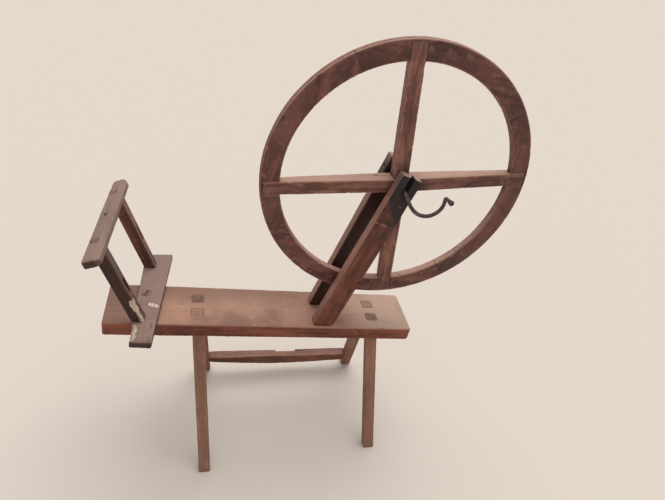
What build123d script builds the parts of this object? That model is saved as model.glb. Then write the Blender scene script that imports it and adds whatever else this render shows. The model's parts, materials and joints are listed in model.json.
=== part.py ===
from build123d import *
import math
import os

# Upright bench spinning wheel: a sloping bench on four splayed legs, a hand-cranked wheel that
# hangs in two open-topped posts, and a leaning spindle head that turns on a peg.
# Millimetres, Z up.  X runs along the bench towards the wheel, Y away from the crank side.
# Most pieces are drawn on the bench's own sloping deck and then set on it.

# ---- driving dimensions ----
DECK_LENGTH = 904
DECK_WIDTH = 168
DECK_THICK = 44
DECK_HEIGHT = 478          # floor to the middle of the plank's top
DECK_SLOPE = 6.25          # degrees, the head end is the high one

LEG_WIDTH = 34             # along the bench
LEG_THICK = 30
LEG_SPLAY = 19.8           # degrees, sideways
LEG_TENON_OFFSET = 29.5    # tenon centre from the plank's centre line
LEG_LEFT_X = -202
LEG_RIGHT_X = 331
LEG_RIGHT_RAKE = 1.5       # degrees, towards the wheel end
LEG_WEDGE = (29, 3.4, 26)  # width, thickness, length

STRETCHER_UP = (96, 74)    # height of its left and right end
STRETCHER_DEPTH = 32
STRETCHER_END = (18, 24)   # how tall it is at the left and right leg
STRETCHER_MIDDLE = 39
STRETCHER_TENON = (14, 18, 22)     # height, depth, length
STRETCHER_NOTCH = (74, 9, 14)      # length, depth, width

FRONT_POST = (164.8, 14.95, 530)   # foot on the plank, degrees from square to it, length
REAR_POST = (167, 13.8, 537)
POST_WIDTH = 60
POST_DEPTH = 32
POST_GAP = 62              # between the two posts
POST_TENON = (38, 18)
POST_WEDGE = (18, 4, 24)
POST_BASE_EASE = 6
LEDGE_UP = 383             # where the front post's face steps back
LEDGE_DEPTH = 2.2
WHEEL_Y = -13              # mid plane of the wheel and of the two posts
AXLE_UP_POST = 486.6       # axle height, measured along the front post
PEG_HOLE = (38, 3.5, 12)   # below the rear post's top, radius, depth

RIM_RADIUS = 370
RIM_WIDTH = 52
RIM_DEPTH = 24
GROOVE = (9, 3, 6)         # cord groove: width at the edge, at the bottom, depth
FELLOE_JOINTS = (33, 24, 22, 29)   # degrees past each spoke end
TONGUE = (8, 26, 28)       # thickness, height, length
SPOKE_WIDTH = 38.5
SPOKE_ANGLE = 8.4          # degrees, the level bar against the plank
SPOKE_REACH = 362          # how far a lapped spoke end goes
HUB_DEPTH = 44
HUB_FLAT = 34              # half length of the full-depth middle
SPOKE_END_DEPTH = 28
HUB_SQUARE = 13            # square part of the axle

ROD_RADIUS = 5.5
AXLE_FIT = 0.1             # radial gap of the axle in its slot
SLOT_MOUTH = 7.3           # half width of the slot where it opens
REAR_STUB = 12             # axle past the rear post
CRANK_PLANE = 12           # crank in front of the front post
CRANK_BEND = 9
PEG_DIRECTION = (0.02, -0.985, 0.12)
PEG_REACH = 33
KNOB = (14, 8)             # length and end radius of the flare on the peg

HEAD_X = -347              # pivot peg on the plank
HEAD_Y = 22
HEAD_TURN = 2.2            # degrees, how far the head stands off square
HEAD_LEAN = 22.3           # degrees from square to the board
BOARD_NOSE = ((-17.5, -197), (38, -197))     # its left and right corner, from the pivot
BOARD_TAIL = ((-25.5, 186), (54.5, 197))
BOARD_THICK = 22
UPRIGHT_WIDTH = 30.7
UPRIGHT_DEPTH = 30.4
UPRIGHT_HEIGHT = 237       # board to top bar, along the upright
UPRIGHT_LEFT = -22                 # left face on the board's top, from the pivot
UPRIGHT_FACES = (-123.5, 116.8)    # front faces, from the pivot
UPRIGHT_TENON = (20, 16)
BEARING_SLOT = (84, 131, 8)        # low end, high end, width
TOP_BAR = (40, 395, 22)    # width, length, thickness
BAR_CUT = (10.5, 9)        # its front right corner is cut off, across and along
BAR_BEVEL = (11, 6)        # along its top right arris, across and down
BAR_OFFSET = (6, -6.5)     # bar centre from the middle of the uprights
BAR_HOLE = 4.5
PIVOT_RADIUS = 13
PEG_WEDGE = (5, 18, -27)   # thickness, length, turn in degrees
PIVOT_FIT = 0.1

EASE = 2                   # eased arris of hand-planed wood
NAIL_HEAD = 2.6
NAIL_SHANK = 2.4
FAR = 2000                 # larger than the whole object

parts = {}


# ---- frames ----
def shifted(angle, reach):
    """X and Z of a point at a reach along a line that leans by an angle from Z."""
    return reach * math.sin(math.radians(angle)), reach * math.cos(math.radians(angle))


slope_x, slope_z = shifted(DECK_SLOPE, 1)
deck = Plane(origin=(0, 0, DECK_HEIGHT), x_dir=(slope_z, 0, -slope_x), z_dir=(slope_x, 0, slope_z))
axle_x, axle_z = shifted(FRONT_POST[1], AXLE_UP_POST)
axle_spot = Vector(FRONT_POST[0] + axle_x, WHEEL_Y, axle_z)
axle_frame = deck * Pos(axle_spot)
head_frame = deck * Pos(HEAD_X, HEAD_Y, 0) * Rot(0, 0, -HEAD_TURN)
upper_half = Pos(0, 0, FAR / 2) * Box(FAR, FAR, FAR)
lower_half = Pos(0, 0, -FAR / 2) * Box(FAR, FAR, FAR)


# ---- common shapes ----
def stick(width, depth, low, high, ease=EASE):
    """A bar along Z with its long arrises rounded."""
    return Pos(0, 0, low) * extrude(RectangleRounded(width, depth, ease), high - low)


def wedge(width, thick, length):
    """A thin wedge across Y, driven down from Z = 0."""
    side = Polyline((-thick / 2, 0), (thick / 2, 0), (0.5, -length), (-0.5, -length), close=True)
    return extrude(Plane.XZ * make_face(side), width / 2, both=True)


def nail(length):
    """A forged nail pointing down, its hammered head standing on Z = 0."""
    head = extrude(RegularPolygon(NAIL_HEAD, 8), 1)
    shank = Pos(0, 0, -length / 2) * Box(NAIL_SHANK, NAIL_SHANK, length)
    return chamfer(head.edges().group_by(Axis.Z)[-1], 0.5) + shank


# ---- legs: square sticks right through the plank, cut level at the floor ----
def leg_frame(x, side, rake):
    """The leg's frame at its foot, Z along the leg, and the leg's length."""
    top = deck.from_local_coords(Vector(x, side * LEG_TENON_OFFSET, 0))
    out_x = top.Z * math.tan(math.radians(rake))
    out_y = side * top.Z * math.tan(math.radians(LEG_SPLAY))
    foot = Vector(top.X + out_x, top.Y + out_y, 0)
    return Plane(origin=foot, x_dir=(1, 0, 0), z_dir=top - foot), (top - foot).length


leg_frames = {}
leg_wedges = []
for end, x, rake in (("left", LEG_LEFT_X, 0), ("right", LEG_RIGHT_X, LEG_RIGHT_RAKE)):
    for row, side in (("front", -1), ("rear", 1)):
        frame, length = leg_frame(x, side, rake)
        leg = frame * stick(LEG_WIDTH, LEG_THICK, -40, length + 40)
        name = f"leg_{row}_{end}"
        leg_frames[name] = frame
        parts[name] = leg & (deck * lower_half) & upper_half
        leg_wedges.append((frame * Pos(0, 0, length) * wedge(*LEG_WEDGE)) & (deck * lower_half))


# ---- rear stretcher: a bowed board tenoned into the two rear legs ----
def point_on_leg(name, height):
    axis = leg_frames[name].z_dir
    return leg_frames[name].origin + axis * (height / axis.Z)


def stretcher():
    left = point_on_leg("leg_rear_left", STRETCHER_UP[0])
    right = point_on_leg("leg_rear_right", STRETCHER_UP[1])
    run = (right - left).length
    rear = Vector(0, 0, 1).cross(right - left).normalized()
    side_view = Plane(origin=left, x_dir=right - left, z_dir=rear * -1)
    top_left, top_right = STRETCHER_END[0] / 2, STRETCHER_END[1] / 2
    side = make_face([
        Line((0, top_left), (run, top_right)),
        Line((run, top_right), (run, -top_right)),
        ThreePointArc((run, -top_right), (run / 2, top_left - STRETCHER_MIDDLE), (0, -top_left)),
        Line((0, -top_left), (0, top_left)),
    ])
    cheek, waist, ease = STRETCHER_DEPTH / 2, LEG_THICK / 2 - 3, 60
    plan = make_face(Polyline(
        (0, -waist), (ease, -cheek), (run - ease, -cheek), (run, -waist),
        (run, waist), (run - ease, cheek), (ease, cheek), (0, waist), close=True,
    ))
    board = extrude(side, FAR / 20, both=True) & extrude(Plane.XZ * plan, FAR / 20, both=True)
    long_notch, deep_notch, wide_notch = STRETCHER_NOTCH
    board -= Pos(run * 0.55, top_right, -cheek) * Box(long_notch, 2 * deep_notch, 2 * wide_notch)
    board = side_view * board
    for name in ("leg_rear_left", "leg_rear_right"):
        board -= parts[name]
    board = max(board.solids(), key=lambda s: s.volume)
    height, depth, reach = STRETCHER_TENON
    tenons = Box(run - LEG_WIDTH + 2 * reach, height, depth)
    return board + side_view * Pos(run / 2, 0, 0) * tenons


parts["rear_stretcher"] = stretcher()
parts["leg_rear_left"] -= parts["rear_stretcher"]
parts["leg_rear_right"] -= parts["rear_stretcher"]


# ---- posts: leaning forks whose open slots carry the axle ----
def post(side, foot_x, lean, length):
    """One post on the flat deck, and the wedge driven into its tenon from below."""
    middle = side * (POST_GAP + POST_DEPTH) / 2
    frame = Pos(foot_x, WHEEL_Y + middle, 0) * Rot(0, lean, 0)
    foot = POST_WIDTH / 2 / math.cos(math.radians(lean)) - POST_BASE_EASE
    flare = make_face(Polyline((-foot, 0), (foot, 0), (foot + FAR, FAR), (-foot - FAR, FAR), close=True))
    shaft = frame * stick(POST_WIDTH, POST_DEPTH, -60, length)
    shaft &= Pos(foot_x, 0, 0) * extrude(Plane.XZ * flare, FAR / 2, both=True)
    tenon = frame * Box(*POST_TENON, 200) & Pos(0, 0, -DECK_THICK / 2) * Box(FAR, FAR, DECK_THICK)
    seat = ROD_RADIUS + AXLE_FIT
    mouth = length - AXLE_UP_POST + 1
    slot = make_face([
        Line((-seat, 0), (-SLOT_MOUTH, mouth)),
        Line((-SLOT_MOUTH, mouth), (SLOT_MOUTH, mouth)),
        Line((SLOT_MOUTH, mouth), (seat, 0)),
        ThreePointArc((seat, 0), (0, -seat), (-seat, 0)),
    ])
    slot_cut = extrude(Plane.XZ * slot, POST_DEPTH, both=True)
    slot_cut = Pos(axle_spot) * Pos(0, middle, 0) * Rot(0, lean, 0) * slot_cut
    underside = DECK_THICK * math.tan(math.radians(lean))
    key = Pos(foot_x - underside, WHEEL_Y + middle, -DECK_THICK)
    return frame, shaft + tenon - slot_cut, key * Rot(180, 0, 0) * wedge(*POST_WEDGE)


front_frame, post_front, front_key = post(-1, *FRONT_POST)
rear_frame, post_rear, rear_key = post(1, *REAR_POST)
face = -POST_DEPTH / 2
step = make_face(Polyline(
    (face - 1, LEDGE_UP - 4), (face, LEDGE_UP - 4), (face + LEDGE_DEPTH, LEDGE_UP),
    (face + LEDGE_DEPTH, FAR), (face - 1, FAR), close=True,
))
post_nail = front_frame * Pos(10.5, face + LEDGE_DEPTH, 445) * Rot(90, 0, 0) * nail(18)
post_front -= front_frame * extrude(Plane.YZ * step, POST_WIDTH, both=True)
post_front -= post_nail
hole_down, hole_radius, hole_depth = PEG_HOLE
peg_hole = Pos(-POST_WIDTH / 2, 0, REAR_POST[2] - hole_down) * Rot(0, 90, 0)
peg_hole = rear_frame * peg_hole * Cylinder(hole_radius, 2 * hole_depth)
parts["post_front"] = deck * (post_front - front_key)
parts["post_rear"] = deck * (post_rear - peg_hole - rear_key)
parts["post_wedges"] = Compound([deck * front_key, deck * rear_key])
parts["post_nail"] = deck * post_nail

# ---- plank ----
plank = Pos(0, 0, -DECK_THICK / 2) * Box(DECK_LENGTH, DECK_WIDTH, DECK_THICK)
plank = fillet(plank.edges().filter_by(Axis.Z), 6)
plank = chamfer(plank.edges().group_by(Axis.Z)[-1], EASE)
plank -= Pos(HEAD_X, HEAD_Y, -DECK_THICK / 2) * Cylinder(PIVOT_RADIUS, DECK_THICK)
plank = deck * plank
for name in (*leg_frames, "post_front", "post_rear"):
    plank -= parts[name]
for key in (*leg_wedges, deck * front_key, deck * rear_key):
    plank -= key
parts["bench_plank"] = plank
for name, key in zip(leg_frames, leg_wedges):
    parts[name] -= key
parts["leg_wedges"] = Compound(leg_wedges)

# ---- wheel: drawn about its own axle, the spoke bars along X and Z ----
rim_inner = RIM_RADIUS - RIM_WIDTH
rim_middle = RIM_RADIUS - RIM_WIDTH / 2
spoke_turn = Rot(0, -SPOKE_ANGLE, 0)


def ring_part(profile, start, sweep):
    """A profile in the X-Z plane turned about the axle from one angle through another."""
    turned = revolve(profile, Axis.Z, sweep)
    return Rot(90, 0, 0) * Rot(0, 0, start) * turned


def rim_profile():
    """Section of the rim: eased arrises and the cord groove in its outer edge."""
    half = RIM_DEPTH / 2
    mouth, bottom, deep = GROOVE
    front_half = [
        (rim_inner, EASE - half), (rim_inner + EASE, -half),
        (RIM_RADIUS - EASE, -half), (RIM_RADIUS, EASE - half),
        (RIM_RADIUS, -mouth / 2), (RIM_RADIUS - deep, -bottom / 2),
    ]
    rear_half = [(r, -y) for r, y in reversed(front_half)]
    return Plane.XZ * make_face(Polyline(*front_half, *rear_half, close=True))


def spoke_bar(notch_side):
    """A bar along X, deep at the hub, halved there and lapped into the rim's front face."""
    hub, end, front = HUB_DEPTH / 2, SPOKE_END_DEPTH, RIM_DEPTH / 2
    right = [(HUB_FLAT, -hub), (rim_inner, -front), (SPOKE_REACH, -front), (SPOKE_REACH, end - front),
             (rim_inner, end - front), (HUB_FLAT, hub)]
    left = [(-x, y) for x, y in reversed(right)]
    bar = extrude(make_face(Polyline(*right, *left, close=True)), SPOKE_WIDTH / 2, both=True)
    bar = chamfer(bar.edges().filter_by(lambda e: e.length > 200), 1.5)
    axle_cylinder = Rot(90, 0, 0) * Cylinder(rim_inner, FAR / 10)
    lap = Pos(0, -front, 0) * Box(2 * SPOKE_REACH, RIM_DEPTH, SPOKE_WIDTH)
    bar = (bar & axle_cylinder) + (bar & lap)
    notch = Pos(0, notch_side * HUB_DEPTH / 2, 0) * Box(SPOKE_WIDTH, HUB_DEPTH, SPOKE_WIDTH)
    axle_hole = Box(HUB_SQUARE, HUB_DEPTH, HUB_SQUARE)
    return bar - notch - axle_hole


wheel = {
    "spoke_bar_level": spoke_turn * spoke_bar(1),
    "spoke_bar_upright": spoke_turn * Rot(0, 90, 0) * spoke_bar(-1),
}
joint_angles = [SPOKE_ANGLE + 90 * quarter + past for quarter, past in enumerate(FELLOE_JOINTS)]
felloe_names = ("felloe_top", "felloe_left", "felloe_bottom", "felloe_right")
tongue_thick, tongue_high, tongue_long = TONGUE
tongue_face = Plane.XZ * Pos(rim_middle, 0) * Rectangle(tongue_high, tongue_thick)
tongue_sweep = math.degrees(tongue_long / rim_middle)
spoke_pocket = Pos(0, -RIM_DEPTH / 2, 0) * Box(2 * SPOKE_REACH, RIM_DEPTH, SPOKE_WIDTH)
for name, start, stop in zip(felloe_names, joint_angles, joint_angles[1:] + [joint_angles[0] + 360]):
    felloe = ring_part(rim_profile(), start, stop - start)
    felloe += ring_part(tongue_face, stop, tongue_sweep)
    felloe -= ring_part(tongue_face, start, tongue_sweep)
    wheel[name] = felloe - spoke_turn * spoke_pocket - spoke_turn * Rot(0, 90, 0) * spoke_pocket

nails = []
for quarter in range(4):
    for across in (-11.5, 11.5):
        place = spoke_turn * Rot(0, 90 * quarter, 0) * Pos(SPOKE_REACH - 7, -RIM_DEPTH / 2, across)
        nails.append(place * Rot(90, 0, 0) * nail(9))
for bar in ("spoke_bar_level", "spoke_bar_upright"):
    for one_nail in nails:
        wheel[bar] -= one_nail
wheel["spoke_nails"] = Compound(nails)


# ---- crank axle: one iron rod, straight through the hub and bent into a hooked crank ----
def crank_axle():
    front = -(POST_GAP / 2 + POST_DEPTH + CRANK_PLANE)
    rear = POST_GAP / 2 + POST_DEPTH + REAR_STUB
    bend = CRANK_BEND
    start_turn = math.radians(-56)
    away = Vector(math.cos(start_turn), 0, math.sin(start_turn))
    corner = Vector(0, front, 0)
    after_corner = corner + away * bend
    knuckle, belly, tip = Vector(12, front, -18), Vector(71, front, -55), Vector(111, front, -3.5)
    low_left = Vector(36, front, -44)
    shaft = Pos(0, (rear + front + bend) / 2, 0) * Rot(90, 0, 0) * Cylinder(ROD_RADIUS, rear - front - bend)
    elbow = TangentArc((0, front + bend, 0), after_corner, tangent=(0, -1, 0))
    drop = Line(elbow @ 1, knuckle)
    hook_1 = TangentArc(knuckle, low_left, tangent=drop % 1)
    hook_2 = TangentArc(low_left, belly, tangent=hook_1 % 1)
    hook_3 = TangentArc(belly, tip, tangent=hook_2 % 1)
    up = hook_3 % 1
    outward = Vector(*PEG_DIRECTION).normalized()
    out = tip + (up + outward) * bend
    turn_out = TangentArc(tip, out, tangent=up)
    peg = Line(out, out + outward * (PEG_REACH - bend))
    path = Wire([elbow, drop, hook_1, hook_2, hook_3, turn_out, peg])
    start = Plane(origin=elbow @ 0, z_dir=(0, -1, 0))
    hook = sweep(start * RegularPolygon(ROD_RADIUS, 12), path=path)
    flare_length, end_radius = KNOB
    flare = Cone(ROD_RADIUS + 0.6, end_radius, flare_length)
    flare = chamfer(flare.edges().group_by(Axis.Z)[-1], 2)
    square = Rot(0, -SPOKE_ANGLE, 0) * Box(HUB_SQUARE, HUB_DEPTH, HUB_SQUARE)
    return shaft + hook + Plane(origin=peg @ 1, z_dir=outward) * flare + square


wheel["crank_axle"] = crank_axle()
for name, shape in wheel.items():
    parts[name] = axle_frame * shape


# ---- spindle head: drawn on its own board, turned a little on the pivot peg ----
def head_board():
    outline = Polyline(*BOARD_NOSE, *reversed(BOARD_TAIL), close=True)
    board = extrude(make_face(outline), BOARD_THICK)
    board = fillet(board.edges().filter_by(Axis.Z), 4)
    nose = board.edges().group_by(Axis.Z)[-1].sort_by(Axis.Y)[0]
    board = fillet(nose, 13)
    return board - Cylinder(PIVOT_RADIUS + PIVOT_FIT, 3 * BOARD_THICK) - head_nail


def upright_frame(front_face):
    """Z runs up the middle of an upright from the board's top."""
    corner = Pos(UPRIGHT_LEFT, front_face + UPRIGHT_DEPTH / 2, BOARD_THICK)
    return corner * Rot(0, -HEAD_LEAN, 0) * Pos(UPRIGHT_WIDTH / 2, 0, 0)


def upright(front_face):
    """A leaning upright with a tenon at each end and a slot for the spindle's bearing."""
    frame = upright_frame(front_face)
    shaft = frame * stick(UPRIGHT_WIDTH, UPRIGHT_DEPTH, -40, UPRIGHT_HEIGHT)
    shaft &= Pos(0, 0, BOARD_THICK) * upper_half
    foot = frame * Box(*UPRIGHT_TENON, 160) & Pos(0, 0, BOARD_THICK / 2) * Box(FAR, FAR, BOARD_THICK)
    bar_thick = TOP_BAR[2]
    top = frame * Pos(0, 0, UPRIGHT_HEIGHT + bar_thick / 2) * Box(*UPRIGHT_TENON, bar_thick)
    low, high, wide = BEARING_SLOT
    slot = Pos(0, 3.5, (low + high) / 2) * Box(2 * UPRIGHT_WIDTH, wide, high - low)
    return shaft + foot + top - frame * slot


def top_bar():
    width, length, thick = TOP_BAR
    cut_across, cut_along = BAR_CUT
    bevel_across, bevel_down = BAR_BEVEL
    middle = sum(UPRIGHT_FACES) / 2 + UPRIGHT_DEPTH / 2
    frame = upright_frame(middle - UPRIGHT_DEPTH / 2) * Pos(*BAR_OFFSET, UPRIGHT_HEIGHT)
    left, right, front, rear = -width / 2, width / 2, -length / 2, length / 2
    outline = Polyline(
        (left, rear), (left, front), (right - cut_across, front), (right, front + cut_along), (right, rear), close=True,
    )
    plate = extrude(make_face(outline), thick)
    corners = plate.edges().filter_by(Axis.Z).sort_by(Axis.Y)
    plate = fillet(corners[:3], 4)
    plate = fillet(plate.edges().filter_by(Axis.Z).sort_by(Axis.Y)[-2:], 15)
    plate = chamfer(plate.edges().group_by(Axis.Z)[-1], EASE)
    off_arris = (right, thick - bevel_down), (right - bevel_across, thick), (right, thick)
    plate -= extrude(Plane.XZ * make_face(Polyline(*off_arris, close=True)), length, both=True)
    hole = Pos(-5, -BAR_OFFSET[1], thick / 2) * Cylinder(BAR_HOLE, 2 * thick)
    return frame * (plate - hole)


head_nail = Pos(-10, -36, BOARD_THICK) * nail(16)
head = {"head_nail": head_nail, "head_board": head_board(), "head_top_bar": top_bar()}
head_wedges = []
for name, front_face in zip(("head_upright_front", "head_upright_rear"), UPRIGHT_FACES):
    piece = upright(front_face)
    head["head_board"] -= piece
    head["head_top_bar"] -= piece
    bar_top = upright_frame(front_face) * Pos(0, 0, UPRIGHT_HEIGHT + TOP_BAR[2])
    drive = bar_top * wedge(UPRIGHT_TENON[1], 3, 17)
    head_wedges.append(drive)
    head[name] = piece - drive
head["head_wedges"] = Compound(head_wedges)
for name, shape in head.items():
    parts[name] = head_frame * shape

# ---- pivot peg: fixed in the plank, wedged at its top so that the head cannot lift off ----
peg = Pos(0, 0, (BOARD_THICK - DECK_THICK) / 2) * Cylinder(PIVOT_RADIUS, BOARD_THICK + DECK_THICK)
wedge_thick, wedge_long, wedge_turn = PEG_WEDGE
peg_wedge = Rot(0, 0, wedge_turn) * wedge(2 * PIVOT_RADIUS, wedge_thick, wedge_long)
peg_wedge = Pos(0, 0, BOARD_THICK) * peg_wedge & peg
parts["head_pivot_peg"] = head_frame * (peg - peg_wedge)
parts["head_peg_wedge"] = head_frame * peg_wedge

# ---- set the whole object over the origin and write each piece ----
whole = Compound(list(parts.values())).bounding_box()
centring = Pos(-whole.center().X, -whole.center().Y, 0)
os.makedirs("parts", exist_ok=True)
for name, shape in parts.items():
    export_step(centring * shape, f"parts/{name}.step")

origin_shift = centring.position
print("origin shift", origin_shift)
print("axle centre", axle_frame.position + origin_shift)
print("head pivot", head_frame.position + origin_shift)
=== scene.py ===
import bpy
import bmesh
import json
import math
import numpy as np
from mathutils import Matrix, Vector, noise
from mathutils.bvhtree import BVHTree
from mathutils.kdtree import KDTree


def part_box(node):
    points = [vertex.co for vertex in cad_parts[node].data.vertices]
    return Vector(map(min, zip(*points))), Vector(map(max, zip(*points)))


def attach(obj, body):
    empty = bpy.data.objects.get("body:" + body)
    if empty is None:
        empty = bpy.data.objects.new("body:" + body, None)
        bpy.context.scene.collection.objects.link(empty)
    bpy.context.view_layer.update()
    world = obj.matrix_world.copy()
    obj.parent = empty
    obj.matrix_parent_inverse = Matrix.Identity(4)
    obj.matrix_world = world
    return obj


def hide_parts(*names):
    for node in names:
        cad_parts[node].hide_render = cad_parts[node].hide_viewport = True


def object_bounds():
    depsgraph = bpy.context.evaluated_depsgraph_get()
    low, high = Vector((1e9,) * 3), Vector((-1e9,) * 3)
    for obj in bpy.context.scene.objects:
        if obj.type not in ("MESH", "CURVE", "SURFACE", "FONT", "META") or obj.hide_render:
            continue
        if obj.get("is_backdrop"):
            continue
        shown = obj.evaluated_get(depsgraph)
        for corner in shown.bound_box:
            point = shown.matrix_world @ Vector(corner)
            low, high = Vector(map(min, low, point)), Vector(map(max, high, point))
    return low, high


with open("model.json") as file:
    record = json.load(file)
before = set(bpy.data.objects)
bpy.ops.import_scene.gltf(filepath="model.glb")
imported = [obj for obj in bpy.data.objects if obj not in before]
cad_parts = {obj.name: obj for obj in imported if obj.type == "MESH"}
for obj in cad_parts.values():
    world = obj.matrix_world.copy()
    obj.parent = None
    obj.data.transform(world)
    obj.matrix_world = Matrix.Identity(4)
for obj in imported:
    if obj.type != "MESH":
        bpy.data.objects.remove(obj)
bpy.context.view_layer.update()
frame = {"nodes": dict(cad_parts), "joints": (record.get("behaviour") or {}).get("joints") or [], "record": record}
nodes = frame["nodes"]
body_of = {n: b for b, names in frame["record"]["behaviour"]["bodies"].items() for n in names}
joints = {j["name"]: j for j in frame["joints"]}
AXLE = Vector(joints["wheel_spin"]["pos_m"])
PIVOT = Vector(joints["head_swivel"]["pos_m"])


# ---- directions of the object's own frames ----
def leaning(angle):
    """A unit vector in the X-Z plane, leaning by an angle in degrees from Z towards +X."""
    return Vector((math.sin(math.radians(angle)), 0, math.cos(math.radians(angle))))


DECK_SLOPE = 6.25           # degrees, as are the other angles
HEAD_TURN = 2.2
HEAD_LEAN = 22.3
PEG_WEDGE_TURN = -27
FRONT_POST_LEAN = 14.95
REAR_POST_LEAN = 13.8
LEG_SPLAY = 19.8
SPOKE_TILT = 2.15
BOARD_THICK = 22            # millimetres, as on_board and on_front_upright take them
UPRIGHT_WIDTH = 30.7
UPRIGHT_FOOT = (-22, -108.3)    # the front upright's left side, in the middle of its depth
ACROSS = Vector((0, 1, 0))
LENGTHWISE = Vector((1, 0, 0))
along_deck, deck_normal = leaning(DECK_SLOPE + 90), leaning(DECK_SLOPE)
turn = math.radians(HEAD_TURN)
head_right = along_deck * math.cos(turn) - ACROSS * math.sin(turn)
head_back = along_deck * math.sin(turn) + ACROSS * math.cos(turn)
lean = math.radians(HEAD_LEAN)
upright_right = head_right * math.cos(lean) + deck_normal * math.sin(lean)
upright_up = deck_normal * math.cos(lean) - head_right * math.sin(lean)
along_front_post = leaning(DECK_SLOPE + FRONT_POST_LEAN)
along_rear_post = leaning(DECK_SLOPE + REAR_POST_LEAN)
across_post = leaning(DECK_SLOPE + FRONT_POST_LEAN + 90)


def on_board(x, y, z=BOARD_THICK):
    """A point of the spindle head, in millimetres from the pivot."""
    return PIVOT + (head_right * x + head_back * y + deck_normal * z) / 1000


def on_front_upright(x, y, height):
    """A point from the middle of the front upright's foot, in millimetres."""
    across = x + UPRIGHT_WIDTH / 2
    away = upright_right * across + head_back * y + upright_up * height
    return on_board(*UPRIGHT_FOOT) + away / 1000


# ---- node graphs ----
class Graph:
    """A material's node tree, built by calls that return output sockets."""

    def __init__(self, name):
        self.material = bpy.data.materials.new(name)
        self.material.use_nodes = True
        self.tree = self.material.node_tree
        self.tree.nodes.clear()

    def add(self, kind, inputs=None, out=0, **settings):
        node = self.tree.nodes.new("ShaderNode" + kind)
        for key, value in settings.items():
            setattr(node, key, value)
        for key, value in (inputs or {}).items():
            socket = node.inputs[key]
            if isinstance(value, bpy.types.NodeSocket):
                self.tree.links.new(value, socket)
            else:
                socket.default_value = value
        return node.outputs[out] if node.outputs else None

    def math(self, operation, a, b=0.0, c=0.0, clamp=False):
        return self.add("Math", {0: a, 1: b, 2: c}, operation=operation, use_clamp=clamp)

    def times(self, a, b):
        return self.math("MULTIPLY", a, b)

    def most(self, a, b):
        return self.math("MAXIMUM", a, b)

    def plus(self, a, b):
        return self.math("ADD", a, b)

    def minus(self, a, b):
        return self.math("SUBTRACT", a, b)

    def size(self, value):
        return self.math("ABSOLUTE", value)

    def line(self, value, slope, offset, clamp=False):
        """A straight line of the value, held between 0 and 1 if asked."""
        return self.math("MULTIPLY_ADD", value, slope, offset, clamp)

    def step(self, value, low, high):
        """0 below low, 1 above high, smooth in between."""
        span = {0: value, 1: low, 2: high, 3: 0.0, 4: 1.0}
        return self.add("MapRange", span, interpolation_type="SMOOTHSTEP")

    def noise(self, vector, scale, detail=3.0, roughness=0.55, distortion=0.0):
        return self.add("TexNoise", {"Vector": vector, "Scale": scale, "Detail": detail,
                                     "Roughness": roughness, "Distortion": distortion})

    def mix(self, factor, a, b, blend="MIX"):
        """Blends two colours."""
        a = (*a, 1.0) if isinstance(a, tuple) and len(a) == 3 else a
        b = (*b, 1.0) if isinstance(b, tuple) and len(b) == 3 else b
        return self.add("Mix", {0: factor, 6: a, 7: b}, out=2, data_type="RGBA", blend_type=blend)

    def place(self, vector, location=(0, 0, 0), rotation=(0, 0, 0), scale=(1, 1, 1)):
        turned = {"Vector": vector, "Location": location, "Rotation": rotation, "Scale": scale}
        return self.add("Mapping", turned)

    def coordinate(self, output):
        node = self.tree.nodes.new("ShaderNodeTexCoord")
        return node.outputs[output]

    def mask(self, name):
        """A value that the mesh carries at its points."""
        return self.add("Attribute", out=2, attribute_name=name)

    def near(self, vector, centre, reach, soft):
        """1 near a point of the object, fading out at reach."""
        distance = self.add("VectorMath", {0: vector, 1: tuple(centre)}, out=1, operation="DISTANCE")
        return self.step(distance, reach + soft, reach - soft)

    def upward(self, normal):
        """How much a face looks up, from -1 to 1."""
        return self.add("SeparateXYZ", {0: normal}, out=2)

    def towards(self, vector, direction):
        """A vector's share in a direction: for a face's normal, how much it looks that way."""
        return self.along(vector, (0, 0, 0), direction)

    def along(self, vector, origin, direction):
        """How far a point lies from an origin along a direction."""
        away = self.add("VectorMath", {0: vector, 1: tuple(origin)}, operation="SUBTRACT")
        return self.add("VectorMath", {0: away, 1: tuple(direction)}, out=1, operation="DOT_PRODUCT")

    def wobbled(self, vector, scale, reach):
        """A place pushed about by noise, for ragged outlines."""
        push = self.add("TexNoise", {"Vector": vector, "Scale": scale, "Detail": 4.0}, out=1)
        push = self.add("VectorMath", {0: push, 1: (0.5, 0.5, 0.5)}, operation="SUBTRACT")
        push = self.add("VectorMath", {0: push, 3: reach}, operation="SCALE")
        return self.add("VectorMath", {0: vector, 1: push}, operation="ADD")

    def finish(self, colour, roughness, height, bump, distance, **shader):
        normal = self.add("Bump", {"Strength": bump, "Distance": distance, "Height": height})
        principled = self.add("BsdfPrincipled", {"Base Color": colour, "Roughness": roughness,
                                                 "Normal": normal, **shader})
        self.add("OutputMaterial", {"Surface": principled})
        return self.material


def turned_to(direction):
    """Euler turn that brings a direction onto X."""
    return tuple(Vector(direction).rotation_difference(Vector((1, 0, 0))).to_euler())


def scaled(colour, factor):
    return tuple(min(1.0, c * factor) for c in colour)


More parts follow.
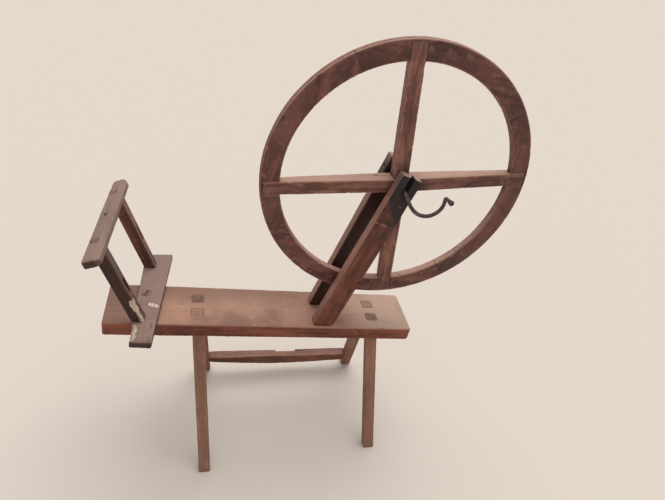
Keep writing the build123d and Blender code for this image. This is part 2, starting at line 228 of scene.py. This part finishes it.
def wood(name, grain, seed, tones, dust, dusty=0.8, marks=(), mottled=0.5, figured=0.35, seam=0.6, end=0.8):
    """Old hardwood: grain along a direction, patchy stain, worn edges, dust on what faces up.

    Each mark is a function for where it lies, its colour and its strength.
    """
    g = Graph(name)
    deep, mid, pale = tones
    place = g.coordinate("Object")
    normal = g.coordinate("Normal")
    shifted = g.place(place, location=(seed * 1.37, seed * 0.71, seed * 0.53))
    along = g.place(shifted, rotation=turned_to(grain))
    fibre_space = g.place(along, scale=(0.05, 1, 1))
    band_space = g.place(along, scale=(0.09, 1, 1))
    bands = g.noise(band_space, 34, 5, 0.6, 0.5)
    fibre = g.noise(fibre_space, 420, 3, 0.6)
    pores = g.noise(fibre_space, 1100, 2, 0.5)
    figure = g.add("TexWave", {"Vector": band_space, "Scale": 26.0, "Distortion": 9.0, "Detail": 3.0,
                               "Detail Scale": 1.6, "Detail Roughness": 0.6}, out=1, bands_direction="Y")
    patches = g.noise(shifted, 7, 4, 0.6)
    clouds = g.noise(shifted, 19, 4, 0.62)
    blotch = g.noise(shifted, 46, 4, 0.65)
    speck = g.noise(shifted, 210, 2, 0.5)

    # bare wood: growth bands, fibres, stains
    colour = g.mix(g.step(bands, 0.36, 0.66), deep, mid)
    colour = g.mix(g.times(g.step(figure, 0.45, 0.95), figured), colour, pale)
    colour = g.mix(g.times(g.step(fibre, 0.5, 0.75), 0.4), colour, scaled(deep, 0.45))
    colour = g.mix(g.times(g.step(patches, 0.42, 0.7), mottled), colour, scaled(deep, 0.6))
    colour = g.mix(g.times(g.step(clouds, 0.52, 0.68), mottled), colour, scaled(deep, 0.5))
    colour = g.mix(g.times(g.step(blotch, 0.52, 0.72), mottled * 0.7), colour, pale)
    colour = g.mix(g.times(g.step(speck, 0.66, 0.76), 0.55), colour, scaled(deep, 0.3))

    # end grain is darker and rougher
    facing = g.size(g.towards(normal, Vector(grain).normalized()))
    end_grain = g.step(facing, 0.72, 0.9)
    rings = g.add("TexWave", {"Vector": shifted, "Scale": 60.0, "Distortion": 6.0, "Detail": 3.0}, out=1)
    end_tone = g.mix(rings, scaled(deep, 0.9 * end), scaled(mid, end))
    colour = g.mix(g.times(end_grain, 0.75), colour, end_tone)

    # dust lies on what faces up, thinner where it is rubbed and on end grain
    lying = g.step(g.upward(normal), -0.08, 0.75)
    uneven = g.line(g.noise(shifted, 13, 5, 0.65), 1.3, 0.25, clamp=True)
    powder = g.times(g.times(lying, uneven), dusty)
    powder = g.times(powder, g.line(fibre, -0.35, 1.15, clamp=True))
    powder = g.times(powder, g.line(end_grain, end - 1.0, 1.0))
    film = g.times(g.step(clouds, 0.35, 0.75), 0.08 * dusty)
    colour = g.mix(g.most(powder, film), colour, dust)

    # rubbed arrises
    ragged = g.plus(g.mask("wear"), g.line(blotch, 0.9, -0.55))
    rubbed = g.times(g.step(ragged, 0.42, 0.8), g.line(end_grain, -0.7, 1.0))
    colour = g.mix(g.times(rubbed, 0.45), colour, scaled(pale, 1.3))

    # dirt in the seams, long drying cracks, fresh wood where it is torn
    snug = g.times(g.mask("joint"), g.line(blotch, 0.8, 0.4, clamp=True))
    colour = g.mix(g.times(snug, seam), colour, scaled(deep, 0.22))
    line = g.noise(g.place(along, scale=(0.035, 1, 1)), 21, 2, 0.4)
    crack = g.size(g.minus(line, 0.5))
    crack = g.times(g.step(crack, 0.0045, 0.0015), g.step(patches, 0.5, 0.56))
    colour = g.mix(g.times(crack, 0.8), colour, scaled(deep, 0.2))
    torn = g.step(g.mask("torn"), 0.2, 0.6)
    splinters = g.noise(g.place(along, scale=(0.12, 1, 1)), 330, 3, 0.6)
    fresh = g.mix(g.step(splinters, 0.35, 0.65), (0.36, 0.25, 0.19), (0.66, 0.52, 0.42))
    colour = g.mix(torn, colour, fresh)

    roughness = g.line(blotch, 0.3, 0.42)
    roughness = g.most(roughness, g.times(powder, 0.9))
    # each mark lays its colour over the wood: grease and stains, and on some pieces painted shade
    for where, tint, strength in marks:
        spread = g.times(where(g, place, normal), strength)
        colour = g.mix(spread, colour, tint)
        roughness = g.minus(roughness, g.times(spread, 0.15))
    height = g.plus(g.times(fibre, 0.55), g.times(bands, 0.5))
    height = g.minus(height, g.times(g.step(pores, 0.58, 0.7), 0.35))
    height = g.plus(height, g.times(blotch, 0.5))
    height = g.minus(height, g.times(crack, 1.2))
    height = g.plus(height, g.times(g.times(torn, splinters), 1.5))
    return g.finish(colour, roughness, height, 0.55, 0.0011, **{"Specular IOR Level": 0.3})


def hub_grease(g, place, normal):
    """Black axle grease on the hub, more of it on the right and hardly any on what faces up."""
    middle = AXLE + Vector((0.024, -0.02, -0.008))
    smeared = g.near(g.wobbled(place, 30.0, 0.03), middle, 0.05, 0.026)
    wiped = g.step(g.upward(normal), 0.25, 0.7)
    return g.times(smeared, g.line(wiped, -0.85, 1.0))


def front_post_grease_and_slot_shade(g, place, normal):
    """Black grease on the front post: its face, lower on the right, and its top left; its slot is painted black as
    painted shade.
    """
    ragged = g.wobbled(place, 36.0, 0.022)
    up_post = g.along(ragged, AXLE, along_front_post)
    edge = g.line(g.along(ragged, AXLE, across_post), 1.05, up_post)
    spilled = g.step(edge, -0.085, -0.062)
    blots = g.step(g.noise(place, 38, 4, 0.65), 0.25, 0.7)
    lower = g.times(g.step(edge, -0.26, -0.1), blots)
    face = g.most(spilled, g.times(lower, 0.92))
    face = g.times(face, g.step(g.towards(normal, -ACROSS), 0.25, 0.6))
    off_middle = g.size(g.along(place, AXLE, across_post))
    # painted shade: the slot's walls are painted black where shade falls in the slot
    slot = g.times(g.step(off_middle, 0.0105, 0.0088), g.step(up_post, -0.02, -0.005))
    left = g.step(g.towards(normal, -across_post), 0.3, 0.6)
    left = g.times(left, g.step(up_post, -0.04, 0.03))
    return g.most(g.most(face, slot), g.times(left, 0.7))


def rear_post_grease_and_shade(g, place, normal):
    """Grease round the rear post's slot, and painted shade down the face that the wheel passes."""
    slot = AXLE + ACROSS * 0.047
    smeared = g.near(g.wobbled(place, 30.0, 0.03), slot, 0.055, 0.02)
    # painted shade on the face towards the front post and the wheel
    inner = g.step(g.towards(normal, -ACROSS), 0.3, 0.7)
    level = g.step(g.upward(normal), 0.85, 0.6)
    return g.times(g.most(smeared, g.times(inner, 0.8)), level)


def peg_split(g, place, normal):
    """Dark end of the pivot peg on both sides of its wedge."""
    split = math.radians(PEG_WEDGE_TURN)
    across = head_right * math.cos(split) + head_back * math.sin(split)
    aside = g.along(g.wobbled(place, 60.0, 0.006), PIVOT, across)
    return g.step(g.size(aside), 0.0075, 0.0045)


def plank_painted_shade(g, place, normal):
    """The plank's top gets painted shade along its back and at the head's end, and broad uneven darker patches."""
    back = g.step(g.towards(g.wobbled(place, 5.0, 0.06), ACROSS), -0.02, 0.07)
    back = g.times(back, g.step(g.towards(place, LENGTHWISE), 0.2, -0.05))
    head_end = g.step(g.along(g.wobbled(place, 6.0, 0.08), PIVOT, along_deck), 0.06, -0.03)
    clouds = g.step(g.noise(place, 6.5, 4, 0.62), 0.47, 0.68)
    top = g.step(g.upward(normal), 0.5, 0.8)
    return g.times(g.most(g.most(back, head_end), clouds), top)


def plank_dust(g, place, normal):
    """Thicker grey dust on the plank's far end, past the posts."""
    past_posts = g.step(g.towards(g.wobbled(place, 8.0, 0.08), LENGTHWISE), 0.06, 0.22)
    return g.times(past_posts, g.step(g.upward(normal), 0.5, 0.8))


def iron(name, base, rust, seed, polish=0.45):
    """Forged iron: scale, rust in patches and rubbed brighter where hands and wood touch it."""
    g = Graph(name)
    place = g.place(g.coordinate("Object"), location=(seed, seed * 0.6, seed * 0.3))
    patches = g.noise(place, 55, 5, 0.65)
    pits = g.noise(place, 420, 3, 0.6)
    colour = g.mix(g.step(patches, 0.4, 0.68), base, rust)
    colour = g.mix(g.times(g.step(pits, 0.55, 0.75), 0.6), colour, tuple(c * 0.4 for c in base))
    bright = g.step(g.plus(g.mask("wear"), g.line(patches, 0.8, -0.5)), 0.4, 0.85)
    colour = g.mix(g.times(bright, 0.3), colour, (0.24, 0.2, 0.19))
    roughness = g.line(patches, 0.35, polish)
    height = g.plus(g.times(pits, 0.5), patches)
    metal = g.line(g.step(patches, 0.4, 0.68), -0.3, 0.4)
    return g.finish(colour, roughness, height, 0.5, 0.0009, Metallic=metal)


# ---- worn pieces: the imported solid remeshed, then rounded, dented and chipped ----
EDGE_REACH = 0.005          # metres from an arris that its wear reaches
RUBBED_REACH = 0.0045       # and its rubbed colour
JOINT_REACH = 0.003         # a neighbour this near keeps an arris sharp and dirty


def welded(node):
    """The node's mesh with its split corners joined."""
    mesh = nodes[node].data.copy()
    work = bmesh.new()
    work.from_mesh(mesh)
    bmesh.ops.remove_doubles(work, verts=work.verts, dist=1e-5)
    work.to_mesh(mesh)
    work.free()
    return mesh


def sharp_points(mesh, spacing=0.001):
    """Points along the edges where two faces meet at an angle."""
    work = bmesh.new()
    work.from_mesh(mesh)
    points = []
    for edge in work.edges:
        if len(edge.link_faces) == 2 and edge.calc_face_angle(0) > math.radians(25):
            a, b = (v.co.copy() for v in edge.verts)
            count = max(1, int((b - a).length / spacing))
            points += [a.lerp(b, k / count) for k in range(count + 1)]
    work.free()
    return points


def remeshed(name, mesh, voxel, smoothing):
    piece = bpy.data.objects.new(name, mesh)
    bpy.context.scene.collection.objects.link(piece)
    modifier = piece.modifiers.new("voxels", "REMESH")
    modifier.mode = "VOXEL"
    modifier.voxel_size = voxel
    modifier.use_smooth_shade = True
    depsgraph = bpy.context.evaluated_depsgraph_get()
    dense = bpy.data.meshes.new_from_object(piece.evaluated_get(depsgraph))
    piece.modifiers.clear()
    work = bmesh.new()
    work.from_mesh(dense)
    for _ in range(smoothing):
        bmesh.ops.smooth_vert(work, verts=work.verts, factor=0.5,
                              use_axis_x=True, use_axis_y=True, use_axis_z=True)
    work.normal_update()
    work.to_mesh(dense)
    work.free()
    piece.data = dense
    bpy.data.meshes.remove(mesh)
    return piece


def tree_of(names):
    """One search tree over the surfaces of several nodes."""
    vertices, faces = [], []
    for name in names:
        mesh = nodes[name].data
        start = len(vertices)
        vertices += [v.co.copy() for v in mesh.vertices]
        faces += [[start + i for i in f.vertices] for f in mesh.polygons]
    return BVHTree.FromPolygons(vertices, faces)


def to_segment(spot, start, end):
    """Distance from a spot to the line between two points."""
    run = end - start
    share = max(0.0, min(1.0, (spot - start).dot(run) / max(run.length_squared, 1e-12)))
    return (spot - start - run * share).length


def worn(node, voxel=0.0024, rounding=0.0006, sway=0.0005, nicks=0.0016, chips=(), smoothing=1,
         shape=None, snap=True):
    """Stands a worn copy of the node in its place: uneven arrises, hand-planed faces, chips.

    Each chip is a start, an end, a radius and a depth.  A shape moves the corners first.
    Snapping lays the dense mesh back onto the true faces before the wear.
    """
    mesh = welded(node)
    if shape:
        for vertex in mesh.vertices:
            vertex.co += shape(vertex.co)
    points = sharp_points(mesh)
    edges = KDTree(len(points))
    for index, point in enumerate(points):
        edges.insert(point, index)
    edges.balance()
    corners = [v.co.copy() for v in mesh.vertices]
    surface = BVHTree.FromPolygons(corners, [tuple(f.vertices) for f in mesh.polygons])
    piece = remeshed(node + "_worn", mesh, voxel, smoothing)
    data = piece.data
    others = tree_of([n for n in nodes if n != node])
    wear, joint, torn, moved = [], [], [], []
    for vertex in data.vertices:
        spot = surface.find_nearest(vertex.co)[0] if snap else vertex.co
        gap = edges.find(spot)[2]
        slow = noise.noise(spot * 11)
        coarse = noise.noise(spot * 34 + Vector((3, 1, 7)))
        fine = noise.noise(spot * 120)
        near = others.find_nearest(spot, JOINT_REACH)
        seated = 0.0 if near[0] is None else 1 - near[3] / JOINT_REACH
        edge = max(0.0, 1 - gap / EDGE_REACH) * (1 - seated)
        bite = rounding * edge * edge * (1.1 + 1.6 * max(0, coarse) + 0.8 * fine)
        nick = max(0.0, noise.noise(spot * 62 + Vector((9, 4, 2))) - 0.42)
        bite += nicks * 4 * nick * edge
        push = sway * slow + 0.35 * sway * coarse + 0.00008 * fine - bite
        rip = 0.0
        for start, end, radius, depth in chips:
            reach = radius * (1 + 0.3 * fine + 0.3 * coarse)
            inside = 1 - to_segment(spot, start, end) / reach
            if inside > 0:
                push -= depth * min(1.0, inside * 1.6)
                rip = max(rip, min(1.0, inside * 5))
        joint.append(seated)
        wear.append(max(0.0, 1 - gap / RUBBED_REACH) * (1 - seated))
        torn.append(rip)
        moved.append(spot + vertex.normal * push)
    data.vertices.foreach_set("co", np.array(moved, dtype=np.float32).ravel())
    for name, values in (("wear", wear), ("joint", joint), ("torn", torn)):
        layer = data.attributes.new(name, "FLOAT", "POINT")
        layer.data.foreach_set("value", np.array(values, dtype=np.float32))
    data.update()
    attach(piece, body_of[node])
    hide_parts(node)
    return piece


def dress(piece, material):
    piece.data.materials.clear()
    piece.data.materials.append(material)


# ---- colours: deep, middle and pale tone of each wood ----
DUST = (0.46, 0.28, 0.21)
PLANK_DUST = (0.4, 0.225, 0.157)
HEAD_DUST = (0.26, 0.165, 0.132)
GREY_DUST = (0.47, 0.335, 0.262)
# black of the axle grease, also used as painted shade in the front post's slot and on the rear post's inner face
BLACK_GREASE_AND_SHADE = (0.014, 0.0115, 0.013)
# dark tone of old dirt, also used as painted shade on the plank's top
OLD_DIRT_AND_SHADE = (0.06, 0.03, 0.022)
MAHOGANY = ((0.105, 0.024, 0.013), (0.23, 0.058, 0.030), (0.38, 0.12, 0.064))
BROWN = ((0.17, 0.07, 0.039), (0.33, 0.14, 0.08), (0.47, 0.235, 0.146))
RIM = ((0.09, 0.031, 0.024), (0.2, 0.077, 0.058), (0.33, 0.15, 0.115))
SPOKE = ((0.12, 0.043, 0.031), (0.265, 0.104, 0.073), (0.42, 0.2, 0.143))
REDDISH = ((0.10, 0.033, 0.021), (0.23, 0.072, 0.044), (0.36, 0.15, 0.10))
DARK = ((0.05, 0.0155, 0.011), (0.11, 0.034, 0.024), (0.2, 0.08, 0.052))
GREYISH = ((0.06, 0.028, 0.02), (0.13, 0.06, 0.043), (0.24, 0.14, 0.11))

# ---- bench ----
stretcher_low, stretcher_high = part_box("rear_stretcher")
STRETCHER_SKEW = -0.0185     # how far its ends differ in Y, over its length


def full_ends(spot):
    """The stretcher keeps its full depth up to the legs."""
    middle = (stretcher_low + stretcher_high) / 2
    reach = (stretcher_high.x - stretcher_low.x) / 2 - 0.085
    beyond = min(1.0, max(0.0, (abs(spot.x - middle.x) - reach) / 0.05))
    centre = middle.y + (spot.x - middle.x) * STRETCHER_SKEW
    return Vector((0, (spot.y - centre) * beyond * 0.3, 0))


# the plank's first mark is painted shade on its top, the second is grey dust
plank_marks = ((plank_painted_shade, OLD_DIRT_AND_SHADE, 0.42), (plank_dust, GREY_DUST, 0.55))
dress(worn("bench_plank", 0.0025),
      wood("plank_finish", along_deck, 1, MAHOGANY, PLANK_DUST, dusty=0.95, seam=0.2, marks=plank_marks))
for seed, name, side, end in ((2, "leg_front_left", -1, 0.7), (3, "leg_front_right", -1, 0.4),
                              (4, "leg_rear_left", 1, 0.25), (5, "leg_rear_right", 1, 0.85)):
    splay = math.radians(LEG_SPLAY)
    grain = Vector((0, side * math.sin(splay), -math.cos(splay)))
    finish = wood(name + "_finish", grain, seed, BROWN, PLANK_DUST, dusty=0.7, seam=0.25, end=end)
    dress(worn(name, 0.0022), finish)
dress(worn("rear_stretcher", 0.0022, shape=full_ends),
      wood("stretcher_finish", (1, 0, -0.04), 7, REDDISH, DUST, dusty=0.2))
dress(worn("post_front"), wood("post_front_finish", along_front_post, 8, MAHOGANY, DUST,
                               marks=((front_post_grease_and_slot_shade, BLACK_GREASE_AND_SHADE, 0.95),)))
dress(worn("post_rear"), wood("post_rear_finish", along_rear_post, 9, MAHOGANY, DUST,
                              marks=((rear_post_grease_and_shade, BLACK_GREASE_AND_SHADE, 0.95),)))

# ---- wheel ----
for seed, name in enumerate(("felloe_top", "felloe_left", "felloe_bottom", "felloe_right"), 10):
    low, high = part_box(name)
    outward = (low + high) / 2 - AXLE
    chord = (outward.z, 0, -outward.x)
    finish = wood(name + "_finish", chord, seed, RIM, DUST, dusty=0.9, mottled=0.75, figured=0.15, seam=0.2)
    dress(worn(name, 0.0022), finish)
for name, grain, seed in (("spoke_bar_level", leaning(90 - SPOKE_TILT), 15),
                          ("spoke_bar_upright", leaning(-SPOKE_TILT), 16)):
    dress(worn(name), wood(name + "_finish", grain, seed, SPOKE, DUST, dusty=0.95, seam=0.3,
                           marks=((hub_grease, BLACK_GREASE_AND_SHADE, 0.95),)))

# ---- spindle head ----
NOSE = ((-17.5, -197), (38, -197))      # left and right corner of the board, from the pivot
TAIL = ((-25.5, 186), (54.5, 197))
SOFT = 13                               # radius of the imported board's top arris
BOARD_SIDES = ((NOSE[0], TAIL[0]), (TAIL[1], NOSE[1]), (TAIL[0], TAIL[1]))


def sharp_sides(spot):
    """The board's soft top arris runs round its front end only: its sides and tail are sharp."""
    away = (spot - PIVOT) * 1000
    flat = Vector((away.dot(head_right), away.dot(head_back)))
    outs, beyond = [], []
    for start, end in BOARD_SIDES:
        run = (Vector(end) - Vector(start)).normalized()
        outs.append(head_right * -run.y + head_back * run.x)
        beyond.append(max(0.0, (flat - Vector(start)).dot(Vector((-run.y, run.x))) + SOFT))
    outs.append(deck_normal)
    beyond.append(max(0.0, away.dot(deck_normal) - (BOARD_THICK - SOFT)))
    length, longest = math.hypot(*beyond), max(beyond)
    if longest < 1 or max(beyond[:3]) == 0:
        return Vector()
    moves = [min(SOFT, b * length / longest) - b for b in beyond]
    return sum((out * move for out, move in zip(outs, moves)), Vector()) / 1000


board_chips = (
    (on_board(17, -47), on_board(36, -54), 0.007, 0.0016),
    (on_board(-18, -142), on_board(-17, -180), 0.014, 0.005),
)
dress(worn("head_board", chips=board_chips, shape=sharp_sides),
      wood("board_finish", head_back, 17, GREYISH, HEAD_DUST, dusty=0.95, seam=0.12, end=0.3))
dress(worn("head_top_bar"),
      wood("bar_finish", head_back, 18, GREYISH, HEAD_DUST, dusty=0.95, seam=0.3, end=0.5))
split_arris = (
    (on_front_upright(15.3, -12.5, 60), on_front_upright(15.3, -12.5, 38), 0.013, 0.004),
    (on_front_upright(15.3, -13.5, 32), on_front_upright(15.3, -13.5, -4), 0.008, 0.003),
)
# the two uprights are one wood, scaled as painted light and shade: the front one darker, the rear one lighter
for name, seed, painted_light_scale, chips in (("head_upright_front", 19, 0.6, split_arris),
                                 ("head_upright_rear", 20, 1.7, ())):
    tones = tuple(scaled(tone, painted_light_scale) for tone in DARK)
    finish = wood(name + "_finish", upright_up, seed, tones, HEAD_DUST, dusty=0.7, seam=0.4)
    dress(worn(name, chips=chips), finish)

# ---- iron and small pieces ----
axle_iron = iron("axle_finish", (0.04, 0.024, 0.024), (0.078, 0.042, 0.04), 1)
dress(worn("crank_axle", 0.0012, rounding=0.0, nicks=0.0, sway=0.0003, smoothing=5, snap=False), axle_iron)
nail_iron = iron("nail_finish", (0.20, 0.17, 0.15), (0.22, 0.12, 0.08), 2)
for name in ("spoke_nails", "post_nail", "head_nail"):
    dress(nodes[name], nail_iron)
plug_wood = wood("plug_finish", deck_normal, 22, REDDISH, PLANK_DUST, dusty=0.6)
for name in ("leg_wedges", "post_wedges", "head_wedges"):
    dress(nodes[name], plug_wood)
dress(nodes["head_pivot_peg"], wood("peg_finish", head_back, 23, GREYISH, HEAD_DUST, dusty=0.95,
                                    marks=((peg_split, OLD_DIRT_AND_SHADE, 0.8),)))
dress(nodes["head_peg_wedge"], wood("peg_wedge_finish", deck_normal, 24, DARK, HEAD_DUST, dusty=0.25))

# ---- floor, light and camera ----
bpy.ops.mesh.primitive_plane_add(size=80)
floor = bpy.context.object
floor.name = "floor"
g = Graph("floor_finish")
floor_colour = (0.62, 0.545, 0.48, 1)
shader = g.add("BsdfDiffuse", {"Color": floor_colour})
g.add("OutputMaterial", {"Surface": shader})
dress(floor, g.material)
floor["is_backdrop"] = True

world = bpy.data.worlds.new("studio")
bpy.context.scene.world = world
world.use_nodes = True
tree = world.node_tree
tree.nodes.clear()
path = tree.nodes.new("ShaderNodeLightPath")
room = tree.nodes.new("ShaderNodeBackground")
room.inputs["Color"].default_value = (0.95, 0.98, 1.0, 1)
heading = tree.nodes.new("ShaderNodeTexCoord")
sides = tree.nodes.new("ShaderNodeVectorMath")
sides.operation = "DOT_PRODUCT"
sides.inputs[1].default_value = (0.35, 0.75, 0.45)
level = tree.nodes.new("ShaderNodeMapRange")
level.inputs["From Min"].default_value = -0.9
level.inputs["From Max"].default_value = 0.9
level.inputs["To Min"].default_value = 0.42
level.inputs["To Max"].default_value = 0.9
tree.links.new(heading.outputs["Generated"], sides.inputs[0])
tree.links.new(sides.outputs["Value"], level.inputs["Value"])
tree.links.new(level.outputs["Result"], room.inputs["Strength"])
backdrop = tree.nodes.new("ShaderNodeBackground")
backdrop.inputs["Color"].default_value = (0.62, 0.60, 0.58, 1)
backdrop.inputs["Strength"].default_value = 1.0
either = tree.nodes.new("ShaderNodeMixShader")
output = tree.nodes.new("ShaderNodeOutputWorld")
tree.links.new(path.outputs["Is Camera Ray"], either.inputs[0])
tree.links.new(room.outputs[0], either.inputs[1])
tree.links.new(backdrop.outputs[0], either.inputs[2])
tree.links.new(either.outputs[0], output.inputs["Surface"])

lamp = bpy.data.lights.new("window", "SUN")
lamp.energy = 1.9
lamp.angle = math.radians(55)
lamp.color = (1.0, 0.97, 0.93)
sun = bpy.data.objects.new("window", lamp)
sun.rotation_mode = "QUATERNION"
sun.rotation_quaternion = Vector((-0.25, -0.30, -1)).to_track_quat("-Z", "Y")
bpy.context.scene.collection.objects.link(sun)

YAW, PITCH, ROLL = (math.radians(a) for a in (14.832, 34.969, 6.944))
forward = Vector((math.sin(YAW) * math.cos(PITCH), math.cos(YAW) * math.cos(PITCH), -math.sin(PITCH)))
right = Vector((math.cos(YAW), -math.sin(YAW), 0))
up = right.cross(forward)
camera_x = right * math.cos(ROLL) + up * math.sin(ROLL)
camera_y = up * math.cos(ROLL) - right * math.sin(ROLL)
lens = bpy.data.cameras.new("camera")
lens.sensor_width = 36
lens.lens = 514.56 / 665 * 36
camera = bpy.data.objects.new("camera", lens)
facing = Matrix((camera_x, camera_y, -forward)).transposed().to_4x4()
camera.matrix_world = Matrix.Translation((-0.254222, -1.179923, 1.53834)) @ facing
bpy.context.scene.collection.objects.link(camera)
bpy.context.scene.camera = camera
bpy.context.scene.view_settings.view_transform = "Standard"

low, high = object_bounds()
